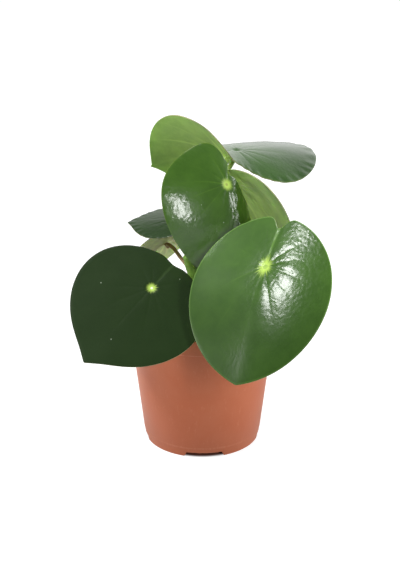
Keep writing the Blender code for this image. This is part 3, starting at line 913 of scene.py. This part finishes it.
def vein_turn(leaf, angle, share):
    """The angle counted so that the veins lie at even steps and arch towards the tip."""
    crowded = 0.22 * math.sin(angle) * (1 - math.cos(angle)) / 2
    arched = 0.24 * share * share * math.sin(angle)
    restless = 0.07 * math.sin(angle) * math.sin(2.3 * angle + 1.7 * leaf.seed)
    restless += 0.05 * share * math.sin(angle) * math.sin(5 * angle + leaf.seed)
    return angle + crowded + arched + restless


def blade_relief(leaf, along, across, angle, share):
    """Height of the fine relief over the plain blade."""
    plant = bpy.context.scene.peperomia_plant
    radius = math.hypot(along, across)
    turn = vein_turn(leaf, angle, share)
    field = abs(math.sin(turn * VEIN_COUNT / 2))
    number = math.floor(turn * VEIN_COUNT / math.tau)
    uneven = 0.75 + 0.5 * math.sin(2.4 * number + leaf.seed)
    swell = soft_step(radius, 1.5 * MM, 9 * MM) * (1 - soft_step(share, 0.3, 0.85))
    loud = 1 - leaf.calm * soft_step(-across, -5 * MM, 5 * MM)
    height = loud * leaf.puff * MM * uneven * field ** 0.75 * swell
    height -= leaf.funnel * MM * bell(radius, FUNNEL_WIDTH)
    step = math.tau / VEIN_COUNT
    off_vein = abs((turn + step / 2) % step - step / 2) * radius
    sunk = soft_step(radius, 2 * MM, 6 * MM) * (1 - soft_step(share, 0.35, 0.8))
    height -= loud * plant.vein_depth * bell(off_vein, VEIN_VALLEY) * sunk
    # Dimple with a low ring round it
    near = radius / plant.dimple_radius
    height -= plant.dimple_depth * bell(near, 1)
    height += 0.12 * plant.dimple_depth * bell(near - 1.7, 0.6)
    # Fold from the seat to the notch
    off_fold = (math.pi - abs(angle)) * radius
    fold_width = 2.2 * MM + 0.10 * radius
    fold = soft_step(share, 0.03, 0.5) * math.exp(-off_fold / fold_width)
    height -= leaf.crease * MM * fold
    side = math.tanh(math.copysign(off_fold, across) / (1.2 * MM))
    height += leaf.lap * MM * side * soft_step(share, 0.55, 1) * math.exp(-off_fold / LAP_WIDTH)
    # Broad waves, ripples along the margin and the rolled margin itself
    spot = Vector((along / WAVE_LENGTH, across / WAVE_LENGTH, leaf.seed * 3.1))
    height += leaf.wave * MM * noise.noise(spot) * soft_step(share, 0.1, 0.6)
    ripple = math.sin(34 * angle + 4 * noise.noise(Vector((3 * angle, leaf.seed, 0))))
    height += leaf.ripple * MM * ripple * soft_step(share, 0.8, 0.97)
    knots = noise.noise(Vector((along / PUCKER_LENGTH, across / PUCKER_WIDTH, leaf.seed)))
    height += leaf.pucker * MM * knots * soft_step(across, 4 * MM, 14 * MM)
    return height - plant.margin_roll * soft_step(share, 0.95, 1.0) ** 2


def blade_point(leaf, along, across, lift):
    """A point of the blade in the world, lifted over the plain blade."""
    step = 0.05 * MM
    here = bent_point(leaf, along, across)
    ahead = bent_point(leaf, along + step, across) - here
    aside = bent_point(leaf, along, across + step) - here
    here += lift * ahead.cross(aside).normalized()
    tip, left, up = leaf_axes(leaf)
    return Vector(leaf.seat) * MM + here.x * tip + here.y * left + here.z * up


def ring_share(ring):
    """The rings lie closer together at the seat and at the margin."""
    even = ring / RINGS
    return even - 0.085 * math.sin(math.tau * even)


def blade_blank():
    """A flat round disc of rings and spokes, modelled once for all the blades."""
    deselect_all()
    bpy.ops.mesh.primitive_circle_add(vertices=SPOKES, radius=1, fill_type="NOTHING")
    disc = bpy.context.object
    with editing(disc, "EDGE"):
        bpy.ops.mesh.select_all(action="SELECT")
        for ring in range(RINGS - 1, 0, -1):
            extrude_ring(0, ring_share(ring) / ring_share(ring + 1))
        merge_ring()
        close_surface()
    rename(disc, "blade_blank")
    # A flat sheet has no inside, so the normals are turned up by hand
    if disc.data.polygons[0].normal.z < 0:
        disc.data.flip_normals()
    return disc


def faces_with(mesh, places):
    """For each face, its corners and the places noted for its points."""
    for polygon in mesh.polygons:
        loops = polygon.loop_indices
        yield loops, [places[mesh.loops[loop].vertex_index] for loop in loops]


def shape_blade(leaf, blade):
    """Move the blank's points to the leaf's form, and note where each lies on the leaf."""
    mesh = blade.data
    places = []
    for vert in mesh.vertices:
        share = math.hypot(vert.co.x, vert.co.y)
        even = math.atan2(vert.co.y, vert.co.x) if share > 1e-6 else 0.0
        angle = even - SPOKE_CROWDING * math.sin(2 * even)
        edge_along, edge_across = outline_point(leaf, angle)
        along, across = edge_along * share, edge_across * share
        true_angle = math.atan2(across, along) if share > 1e-6 else 0.0
        places.append((along, across, true_angle, share))
    polar = mesh.uv_layers.new(name="polar")
    flat = mesh.uv_layers.new(name="flat")
    for loops, corners in faces_with(mesh, places):
        outer = [corner for corner in corners if corner[3] > 1e-6]
        leftwards = sum(corner[1] for corner in outer) > 0
        middle = sum(abs(corner[2]) for corner in outer) / len(outer)
        middle = math.copysign(middle, 1 if leftwards else -1)
        for loop, (along, across, angle, share) in zip(loops, corners):
            if share < 1e-6:
                angle = middle
            elif abs(angle - middle) > math.pi:
                angle = -angle
            turn = vein_turn(leaf, angle, share)
            polar.data[loop].uv = (turn / math.tau + 0.5, share)
            flat.data[loop].uv = (along / FLAT_UNIT, across / FLAT_UNIT)
    group = blade.vertex_groups.new(name="thickness")
    for vert, (along, across, angle, share) in zip(mesh.vertices, places):
        lift = blade_relief(leaf, along, across, angle, share)
        vert.co = blade_point(leaf, along, across, lift)
        thickness = BLADE_MARGIN + (BLADE_MIDDLE - BLADE_MARGIN) * (1 - share * share)
        group.add([vert.index], thickness / BLADE_MIDDLE, "REPLACE")


def thicken_blade(blade):
    """Give the sheet its thickness and soft edges."""
    add_modifier(blade, "SOLIDIFY", thickness=BLADE_MIDDLE, vertex_group="thickness",
                 offset=-1, use_rim=True, material_offset=1, material_offset_rim=2)
    bevel(blade, BLADE_BEVEL, 60)
    apply_modifiers(blade)


# Stem and stalks

def smooth_path(points, steps):
    """A smooth line through the points, with some steps between each two."""
    ends = [2 * points[0] - points[1]] + points + [2 * points[-1] - points[-2]]
    path = []
    for index in range(1, len(ends) - 2):
        before, start, end, after = ends[index - 1:index + 3]
        for step in range(steps):
            t = step / steps
            path.append(0.5 * (2 * start + (end - before) * t
                               + (2 * before - 5 * start + 4 * end - after) * t ** 2
                               + (3 * start - before - 3 * end + after) * t ** 3))
    path.append(points[-1])
    return path


def stem_path(steps=4):
    return smooth_path([Vector(point) * MM for point in STEM_POINTS], steps)


def stem_point(height):
    """The point on the stem's axis at a height."""
    path = stem_path()
    for low, high in zip(path, path[1:]):
        if low.z <= height <= high.z:
            return low.lerp(high, (height - low.z) / (high.z - low.z))
    return path[-1]


def swept(path, radii, sides):
    """A round tube drawn along a path as a curve, then made a mesh with places along it."""
    deselect_all()
    bpy.ops.curve.primitive_nurbs_path_add()
    line = bpy.context.object
    set_all(line.data, dimensions="3D", twist_mode="MINIMUM", bevel_mode="ROUND",
            bevel_depth=MM, bevel_resolution=sides // 2 - 2, use_fill_caps=True)
    spline = line.data.splines[0]
    spline.type = "POLY"
    spline.points.add(len(path) - len(spline.points))
    for point, place, radius in zip(spline.points, path, radii):
        point.co = (*place, 1)
        point.radius = radius / MM
    make_active(line)
    bpy.ops.object.convert(target="MESH")
    tube = bpy.context.object
    with editing(tube):
        close_surface()
    mark_length(tube, path)
    return tube


def reach_along(path):
    """How far along the path each of its points lies."""
    reach = [0.0]
    for low, high in zip(path, path[1:]):
        reach.append(reach[-1] + (high - low).length)
    return reach


def mark_length(tube, path):
    """Note on a UV map how far round and how far along the tube each corner lies."""
    mesh = tube.data
    reach = reach_along(path)
    while mesh.uv_layers:
        mesh.uv_layers.remove(mesh.uv_layers[0])
    layer = mesh.uv_layers.new(name="lengthways")
    places = []
    for vert in mesh.vertices:
        nearest = min(range(len(path)), key=lambda index: (vert.co - path[index]).length_squared)
        ahead = (path[min(nearest + 1, len(path) - 1)] - path[max(nearest - 1, 0)]).normalized()
        side = Vector((0, 1, 0)).cross(ahead).normalized()
        other = ahead.cross(side)
        off = vert.co - path[nearest]
        around = math.atan2(off.dot(other), off.dot(side)) / math.tau
        places.append((around, (reach[nearest] + off.dot(ahead)) * 10))
    for loops, corners in faces_with(mesh, places):
        wraps = max(c[0] for c in corners) - min(c[0] for c in corners) > 0.5
        for loop, (around, along) in zip(loops, corners):
            layer.data[loop].uv = (around + 1 if wraps and around < 0 else around, along)


def lump_tube(tube, height, size, seed):
    """Make a tube slightly uneven, as grown."""
    for vert in tube.data.vertices:
        spot = vert.co / size + Vector((seed, 0, 0))
        vert.co += vert.normal * height * noise.noise(spot)


# Operators

def wall_radius(height, inset=0.0):
    """Radius of the pot's tapered wall at a height, less an inset."""
    slope = (POT_NECK_RADIUS - POT_BASE_RADIUS) / POT_NECK
    return POT_BASE_RADIUS + slope * height - inset


class PEPEROMIA_OT_pot(bpy.types.Operator):
    """Builds the moulded pot with its rim band, foot notches and drainage holes"""

    bl_idname = "peperomia.pot"
    bl_label = "Build Pot"

    def execute(self, context):
        settings = context.scene.peperomia_pot
        pot = turned(self.profile(settings), settings.segments)
        for index in range(NOTCH_COUNT):
            turn = math.radians(-90 + NOTCH_TURN) + index * math.tau / NOTCH_COUNT
            cut(pot, self.notch_block(turn))
        for index in range(HOLE_COUNT):
            turn = (index + 0.5) * math.tau / HOLE_COUNT
            cut(pot, self.hole_pin(turn))
        bevel(pot, POT_BEVEL, 50)
        apply_modifiers(pot)
        pot.data.materials.append(pot_material())
        shade(pot, 35)
        settle(pot, "pot_moulding", ["pot"])
        return {"FINISHED"}

    def profile(self, settings):
        """The pot's section from the boss's underside, round the rim, to the floor's top."""
        skirt_inside = POT_BASE_RADIUS - POT_SKIRT
        line, depth = settings.line_height, settings.line_depth
        outside = [
            (BOSS_RADIUS, 0),
            (BOSS_RADIUS + BOSS_DRAFT, POT_FLOOR_UNDERSIDE),
            (skirt_inside, POT_FLOOR_UNDERSIDE),
            (skirt_inside, 0),
            (POT_BASE_RADIUS - POT_EDGE, 0),
            (POT_BASE_RADIUS - 0.3 * POT_EDGE - depth, 0.2 * POT_EDGE),
            (wall_radius(POT_EDGE, depth), POT_EDGE),
            (wall_radius(line - 0.3 * MM, depth), line - 0.3 * MM),
            (wall_radius(line + 0.1 * MM), line + 0.1 * MM),
            (wall_radius(0.5 * POT_NECK), 0.5 * POT_NECK),
            (wall_radius(POT_NECK - 1.2 * MM), POT_NECK - 1.2 * MM),
            (POT_NECK_RADIUS + 0.3 * MM, POT_NECK - 0.1 * MM),
            (POT_RIM_RADIUS - POT_EDGE, POT_NECK),
            (POT_RIM_RADIUS - 0.5 * POT_EDGE, POT_NECK + 0.15 * POT_EDGE),
            (POT_RIM_RADIUS - 0.2 * MM, POT_NECK + POT_EDGE),
            (POT_RIM_RADIUS, POT_HEIGHT - POT_EDGE),
            (POT_RIM_RADIUS - 0.15 * POT_EDGE, POT_HEIGHT - 0.35 * POT_EDGE),
            (POT_RIM_RADIUS - 0.5 * POT_EDGE, POT_HEIGHT),
        ]
        band = POT_RIM_RADIUS - POT_WALL
        floor_top = POT_FLOOR_UNDERSIDE + POT_WALL
        inside = [
            (band + 0.3 * POT_EDGE, POT_HEIGHT),
            (band, POT_HEIGHT - 0.6 * POT_EDGE),
            (band - 0.4 * MM, POT_NECK + POT_WALL),
            (wall_radius(POT_NECK, POT_WALL), POT_NECK + 0.2 * MM),
            (wall_radius(POT_NECK - POT_WALL, POT_WALL), POT_NECK - POT_WALL),
            (wall_radius(floor_top + 1 * MM, POT_WALL), floor_top + 1 * MM),
            (wall_radius(floor_top, POT_WALL + 0.8 * MM), floor_top),
            (BOSS_RADIUS + BOSS_DRAFT - POT_WALL, floor_top),
            (BOSS_RADIUS - POT_WALL, POT_WALL),
        ]
        return outside + inside

    def notch_block(self, turn):
        """A slant-sided block where the skirt is opened, at this turn."""
        near = POT_BASE_RADIUS - 4 * POT_SKIRT
        far = POT_BASE_RADIUS + POT_SKIRT
        slant = (NOTCH_FOOT_WIDTH - NOTCH_TOP_WIDTH) / 2 / NOTCH_HEIGHT
        foot = NOTCH_FOOT_WIDTH + 2 * slant * POT_EDGE
        deselect_all()
        bpy.ops.mesh.primitive_cube_add(
            size=1, location=((near + far) / 2, 0, (NOTCH_HEIGHT - POT_EDGE) / 2),
            scale=(far - near, foot, NOTCH_HEIGHT + POT_EDGE))
        block = bpy.context.object
        bpy.ops.object.transform_apply(location=True, scale=True)
        with editing(block, "FACE"):
            select_where(block, "faces", lambda face: face.normal.z > 0.9)
            bpy.ops.transform.resize(value=(1, NOTCH_TOP_WIDTH / foot, 1))
        block.rotation_euler.z = turn
        return block

    def hole_pin(self, turn):
        """A short round pin, as wide as the hole, where the floor is holed."""
        centre = (HOLE_CIRCLE * math.cos(turn), HOLE_CIRCLE * math.sin(turn),
                  POT_FLOOR_UNDERSIDE + POT_WALL / 2)
        deselect_all()
        bpy.ops.mesh.primitive_cylinder_add(vertices=32, radius=HOLE_RADIUS,
                                            depth=4 * POT_WALL, location=centre)
        return bpy.context.object


class PEPEROMIA_OT_soil(bpy.types.Operator):
    """Builds the potting soil with its lumps and loose crumbs"""

    bl_idname = "peperomia.soil"
    bl_label = "Build Soil"

    def execute(self, context):
        settings = context.scene.peperomia_soil
        soil = self.root_ball(settings)
        crumbs = self.scatter_crumbs(settings)
        soil.data.materials.append(soil_material(
            "damp soil", settings.colour, settings.dry_colour, 0.5))
        shade(soil, 60)
        deselect_all()
        for crumb in crumbs:
            crumb.select_set(True)
        soil.select_set(True)
        context.view_layer.objects.active = soil
        bpy.ops.object.join()
        settle(soil, "potting_soil", ["soil"])
        return {"FINISHED"}

    def inner_radius(self, height):
        return wall_radius(height, POT_WALL) - GAP

    def surface(self, x, y, lump):
        """Height of the soil's top at a place."""
        rim = self.inner_radius(SOIL_LEVEL)
        out = min(math.hypot(x, y) / rim, 1)
        mound = SOIL_MOUND * (1 - out * out)
        coarse = noise.noise(Vector((x / (11 * MM), y / (11 * MM), 0.3)))
        fine = noise.noise(Vector((x / (3.5 * MM), y / (3.5 * MM), 2.1)))
        return SOIL_LEVEL + mound + lump * (coarse + 0.5 * fine) * (1 - out ** 6)

    def root_ball(self, settings):
        """The root ball, from the hollow in its underside up and over its top."""
        floor = POT_FLOOR_UNDERSIDE + POT_WALL + GAP
        rim = self.inner_radius(SOIL_LEVEL)
        boss = BOSS_RADIUS - POT_WALL - GAP
        profile = [(boss, POT_WALL + GAP), (boss + BOSS_DRAFT, floor),
                   (self.inner_radius(floor), floor),
                   (self.inner_radius(0.5 * SOIL_LEVEL), 0.5 * SOIL_LEVEL), (rim, SOIL_LEVEL)]
        for ring in range(SOIL_RINGS - 1, 0, -1):
            profile.append((rim * ring / SOIL_RINGS, SOIL_LEVEL))
        soil = turned(profile, SOIL_SIDES)
        for vert in soil.data.vertices:
            if vert.co.z > SOIL_LEVEL - TINY:
                vert.co.z = self.surface(vert.co.x, vert.co.y, settings.lump)
        return soil

    def scatter_crumbs(self, settings):
        """One crumb is modelled, and its copies are turned, sized and laid on the soil."""
        deselect_all()
        bpy.ops.mesh.primitive_ico_sphere_add(subdivisions=2, radius=1)
        blank = bpy.context.object
        with editing(blank):
            bpy.ops.mesh.select_all(action="SELECT")
            bpy.ops.transform.resize(value=(1.0, 0.8, 0.65))
            bpy.ops.transform.vertex_random(offset=0.16, uniform=0.3, normal=0.0, seed=3)
        materials = [
            soil_material("dark crumbs", shift(settings.colour, (1.1, 1.1, 1.1)),
                          settings.dry_colour, 0.35),
            soil_material("dry crumbs", settings.dry_colour,
                          shift(settings.dry_colour, (2.0, 1.8, 1.6)), 0.6),
        ]
        chance = random.Random(CRUMB_SEED)
        stem = Vector(STEM_POINTS[1]) * MM
        rim = self.inner_radius(SOIL_LEVEL)
        crumbs = []
        while len(crumbs) < settings.crumbs:
            radius = (rim - 2.5 * MM) * math.sqrt(chance.random())
            turn = chance.uniform(0, math.tau)
            x, y = radius * math.cos(turn), radius * math.sin(turn)
            size = settings.crumb_size * (0.3 + 0.7 * chance.random() ** 2.2)
            if math.hypot(x - stem.x, y - stem.y) < STEM_FOOT_RADIUS + 0.5 * size:
                continue
            if radius + size > rim:
                continue
            crumb = copy_of(blank)
            crumb.location = (x, y, self.surface(x, y, settings.lump) + 0.2 * size)
            crumb.rotation_euler = [chance.uniform(0, math.tau) for _ in range(3)]
            crumb.scale = (size, size, size)
            crumb.data.materials.append(materials[chance.random() > 1 - DRY_CRUMB_CHANCE])
            for polygon in crumb.data.polygons:
                polygon.use_smooth = True
            crumbs.append(crumb)
        remove(blank)
        return crumbs


class PEPEROMIA_OT_stem(bpy.types.Operator):
    """Builds the stem with its leaf scars and growing tip"""

    bl_idname = "peperomia.stem"
    bl_label = "Build Stem"

    def execute(self, context):
        path = stem_path(steps=9)
        last = len(path) - 1
        taper = STEM_FOOT_RADIUS - STEM_TOP_RADIUS
        radii = [STEM_FOOT_RADIUS - taper * index / last for index in range(last + 1)]
        upward = (path[-1] - path[-2]).normalized()
        top = path[-1]
        for rise, share in STEM_TIP:
            path.append(top + upward * (rise * STEM_TOP_RADIUS))
            radii.append(share * STEM_TOP_RADIUS)
        for index, place in enumerate(path):
            for scar in STEM_SCARS:
                radii[index] += 0.25 * MM * bell(place.z / MM - scar, 1.3)
        stem = swept(path, radii, STEM_SIDES)
        lump_tube(stem, 0.35 * MM, 6 * MM, 2.0)
        colour = context.scene.peperomia_plant.stem_colour
        stem.data.materials.append(stalk_material("green stem", colour, (1.1, 0.6, 0.6), 0.6))
        shade(stem, 60)
        settle(stem, "main_stem", ["stem"])
        return {"FINISHED"}


class PEPEROMIA_OT_stalks(bpy.types.Operator):
    """Builds the leaf stalks, each from the stem to its blade"""

    bl_idname = "peperomia.stalks"
    bl_label = "Build Leaf Stalks"

    def execute(self, context):
        plant = context.scene.peperomia_plant
        green = stalk_material("green leaf stalk", plant.stalk_colour, (0.6, 0.5, 0.5), 0.35)
        red = stalk_material("reddish leaf stalk", plant.red_stalk_colour,
                             (0.6, 0.45, 0.5), 0.5)
        for leaf in LEAVES:
            stalk = self.build(leaf)
            stalk.data.materials.append(red if leaf.reddish else green)
            shade(stalk, 60)
            settle(stalk, leaf.name + "_leaf_stalk", ["leaf_" + leaf.name + "_stalk"])
        return {"FINISHED"}

    def build(self, leaf):
        """The stalk widens where it leaves the stem and where its head meets the blade."""
        up = leaf_axes(leaf)[2]
        end = Vector(leaf.seat) * MM - up * (0.8 * BLADE_MIDDLE)
        points = [stem_point(leaf.stem_height * MM)]
        points += [Vector(point) * MM for point in leaf.stalk]
        points.append(end - up * STALK_STRAIGHT)
        path = smooth_path(points, 8)
        path += [end - up * (STALK_STRAIGHT * share) for share in (0.75, 0.5, 0.3, 0.15, 0)]
        radii = []
        reach = reach_along(path)
        for here in reach:
            at_stem = math.exp(-here / (6 * MM))
            at_blade = math.exp(-(reach[-1] - here) / (2.2 * MM))
            flare = 1 + 0.35 * at_stem + (0.2 if leaf.reddish else 0.55) * at_blade
            radii.append(leaf.stalk_radius * MM * flare)
        stalk = swept(path, radii, STALK_SIDES)
        lump_tube(stalk, 0.12 * MM, 7 * MM, leaf.seed)
        return stalk


class PEPEROMIA_OT_blades(bpy.types.Operator):
    """Builds the leaf blades with their veins, dimples and rolled margins"""

    bl_idname = "peperomia.blades"
    bl_label = "Build Leaf Blades"

    def execute(self, context):
        blank = blade_blank()
        rim = rim_material()
        for leaf in LEAVES:
            blade = copy_of(blank)
            shape_blade(leaf, blade)
            blade.data.materials.append(face_material(leaf.face, leaf.seed))
            blade.data.materials.append(under_material(leaf.under, leaf.seed))
            blade.data.materials.append(rim)
            thicken_blade(blade)
            shade(blade, 60)
            settle(blade, leaf.name + "_leaf_blade", ["leaf_" + leaf.name + "_blade"])
        remove(blank)
        return {"FINISHED"}


def look_direction(azimuth, elevation):
    """Unit vector from the object, with the azimuth counted from +Y towards +X."""
    a, e = math.radians(azimuth), math.radians(elevation)
    return Vector((math.sin(a) * math.cos(e), math.cos(a) * math.cos(e), math.sin(e)))


# Softboxes: name, azimuth, elevation, distance, width, height, brightness
SOFTBOXES = [
    ("left", -116.5, 46.5, 1.3, 0.33, 0.32, 34.0),
    ("left_low", -92, 6, 1.4, 0.50, 0.34, 13.0),
    ("top_left", -70, 72, 1.4, 0.50, 0.50, 7.0),
    ("front_right", 155, 19, 1.4, 0.18, 0.60, 27.0),
    ("right", 78, 8, 1.6, 0.70, 0.45, 14.0),
    ("top_back", 0, 68, 1.5, 1.0, 0.5, 5.0),
]


class PEPEROMIA_OT_stage(bpy.types.Operator):
    """Builds the floor, the lights and the camera"""

    bl_idname = "peperomia.stage"
    bl_label = "Build Stage"

    def execute(self, context):
        settings = context.scene.peperomia_stage
        self.add_floor(settings)
        self.add_camera(context)
        for softbox in SOFTBOXES:
            self.add_softbox(settings, *softbox)
        self.add_surround(context, settings)
        context.scene.view_settings.view_transform = "Standard"
        return {"FINISHED"}

    def add_floor(self, settings):
        deselect_all()
        bpy.ops.mesh.primitive_plane_add(size=settings.floor_size)
        floor = bpy.context.object
        with editing(floor):
            bpy.ops.mesh.select_all(action="SELECT")
            bpy.ops.mesh.subdivide(number_cuts=3)
        rename(floor, "studio_floor")
        material, net, shader = new_material("pale floor", {
            "Roughness": 0.9, "IOR": 1.2, "Emission Color": (1.0, 1.0, 1.0)})
        path = net.node("LightPath")
        x, y, _ = net.separate(net.place())
        # Under the pot the floor doesn't glow, and its colour is painted darker and in some of
        # the pot's colour: painted shadow with painted light thrown back from the pot.
        beside = net.smooth(net.radius(x, y), 41.5 * MM, 45.6 * MM)
        shown = net.mix(beside, (0.20, 0.085, 0.06), settings.floor_colour)
        glow = path["Is Camera Ray"] * settings.floor_glow
        glow = glow + path["Is Glossy Ray"] * settings.floor_mirror_glow
        net.feed(shader, {"Base Color": shown, "Emission Strength": glow * beside})
        floor.data.materials.append(material)

    def add_camera(self, context):
        back = look_direction(180, CAMERA_ELEVATION)
        bpy.ops.object.camera_add(location=CAMERA_TARGET + back * CAMERA_DISTANCE)
        camera = context.object
        camera.rotation_euler = (-back).to_track_quat("-Z", "Y").to_euler()
        set_all(camera.data, lens=CAMERA_LENS, sensor_width=CAMERA_SENSOR, clip_start=0.01,
                clip_end=50)
        camera.name = "camera"
        context.scene.camera = camera

    def add_softbox(self, settings, name, azimuth, elevation, distance, width, height, bright):
        towards = look_direction(azimuth, elevation)
        bpy.ops.object.light_add(type="AREA", location=CAMERA_TARGET + towards * distance)
        lamp = bpy.context.object
        lamp.rotation_euler = towards.to_track_quat("Z", "Y").to_euler()
        set_all(lamp.data, shape="RECTANGLE", size=width, size_y=height,
                energy=settings.light_scale * bright * math.pi * width * height)
        lamp.visible_camera = False
        lamp.name = "softbox_" + name

    def add_surround(self, context, settings):
        """The camera sees plain white; surfaces see a room that is bright behind and low."""
        world = bpy.data.worlds.new("studio")
        context.scene.world = world
        world.use_nodes = True
        world.node_tree.nodes.clear()
        net = Net(world.node_tree)
        x, y, z = net.separate(net.node("TexCoord")["Generated"])
        behind = net.smooth(y, -0.2, 0.7)
        low = net.smooth(z, 0.62, 0.40)
        rightwards = net.smooth(x, -0.35, 0.05, 0.4, 1.0)
        room = net.mix(low * behind * rightwards, (0.14, 0.14, 0.14), (1.3, 1.3, 1.3))
        seen = net.node("LightPath")["Is Camera Ray"]
        white = net.node("Background", {"Color": (1.0, 1.0, 1.0), "Strength": 1.0})
        lit = net.node("Background", {"Color": room, "Strength": settings.light_scale})
        both = net.node("MixShader", {0: seen, 1: lit[0], 2: white[0]})
        net.node("OutputWorld", {"Surface": both[0]})


class PEPEROMIA_PT_panel(bpy.types.Panel):
    """Lists the operators and their settings"""

    bl_idname = "PEPEROMIA_PT_panel"
    bl_label = "Potted Peperomia"
    bl_space_type = "VIEW_3D"
    bl_region_type = "UI"
    bl_category = "Peperomia"

    def draw(self, context):
        for operator in OPERATORS:
            self.layout.operator(operator.bl_idname)
        for name in SETTINGS:
            group = getattr(context.scene, name)
            box = self.layout.box()
            for label in group.__annotations__:
                box.prop(group, label)


OPERATORS = (PEPEROMIA_OT_pot, PEPEROMIA_OT_soil, PEPEROMIA_OT_stem, PEPEROMIA_OT_stalks,
             PEPEROMIA_OT_blades, PEPEROMIA_OT_stage)
SETTINGS = {"peperomia_pot": PotSettings, "peperomia_soil": SoilSettings,
            "peperomia_plant": PlantSettings, "peperomia_stage": StageSettings}
CLASSES = (*SETTINGS.values(), *OPERATORS, PEPEROMIA_PT_panel)


def register():
    for item in CLASSES:
        bpy.utils.register_class(item)
    for name, kind in SETTINGS.items():
        setattr(bpy.types.Scene, name, PointerProperty(type=kind))


def unregister():
    for name in SETTINGS:
        delattr(bpy.types.Scene, name)
    for item in reversed(CLASSES):
        bpy.utils.unregister_class(item)


def main():
    register()
    bpy.ops.peperomia.pot()
    bpy.ops.peperomia.soil()
    bpy.ops.peperomia.stem()
    bpy.ops.peperomia.stalks()
    bpy.ops.peperomia.blades()
    bpy.ops.peperomia.stage()


if __name__ == "__main__":
    main()
